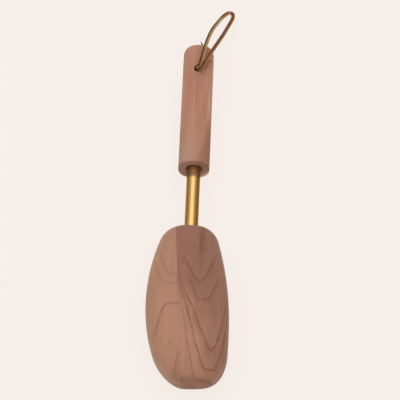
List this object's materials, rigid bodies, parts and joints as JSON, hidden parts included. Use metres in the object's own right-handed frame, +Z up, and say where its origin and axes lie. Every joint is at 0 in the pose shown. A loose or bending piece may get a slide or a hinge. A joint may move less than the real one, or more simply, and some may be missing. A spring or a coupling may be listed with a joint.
{
  "type": "boot tree",
  "caption": "Boot tree: a rounded cedar forefoot block on a brass tube, with a sprung cedar handle that slides on the tube and a knotted leather hanging loop.",
  "frame": {"origin": "on the surface that the flat sole lies on, under the middle of the block and handle", "axes": "+Y along the tube from the toe to the handle's top, +Z up from the sole to the instep, +X to the inner side of the foot"},
  "size_m": [0.075, 0.4166, 0.0546],
  "materials": {
    "cedar_light": "matte",
    "cedar_dark": "matte",
    "cedar_handle": "matte",
    "brass": "satin",
    "steel": "satin",
    "leather": "satin"
  },
  "bodies": {
    "block": {"block_lateral_board": "cedar_light", "block_medial_board": "cedar_dark", "slide_tube": "brass", "block_brad": "steel", "spring_seat": "steel"},
    "handle": {"handle": "cedar_handle", "guide_brad": "steel", "spring": "steel"},
    "loop": {"lace_loop": "leather", "lace_knot": "leather"}
  },
  "joints": [
    {"name": "handle_slide", "type": "slide", "parent": "block", "child": "handle", "axis": [0, -1, 0], "range_m": [0, 0.025], "stiffness_N_per_m": 700, "springref_m": -0.012, "deforming": ["spring"]},
    {"name": "loop_swing", "type": "hinge", "parent": "handle", "child": "loop", "pos_m": [0, 0.14535, 0.0395], "axis": [0, 0, 1], "range_deg": [-65, 100]}
  ]
}
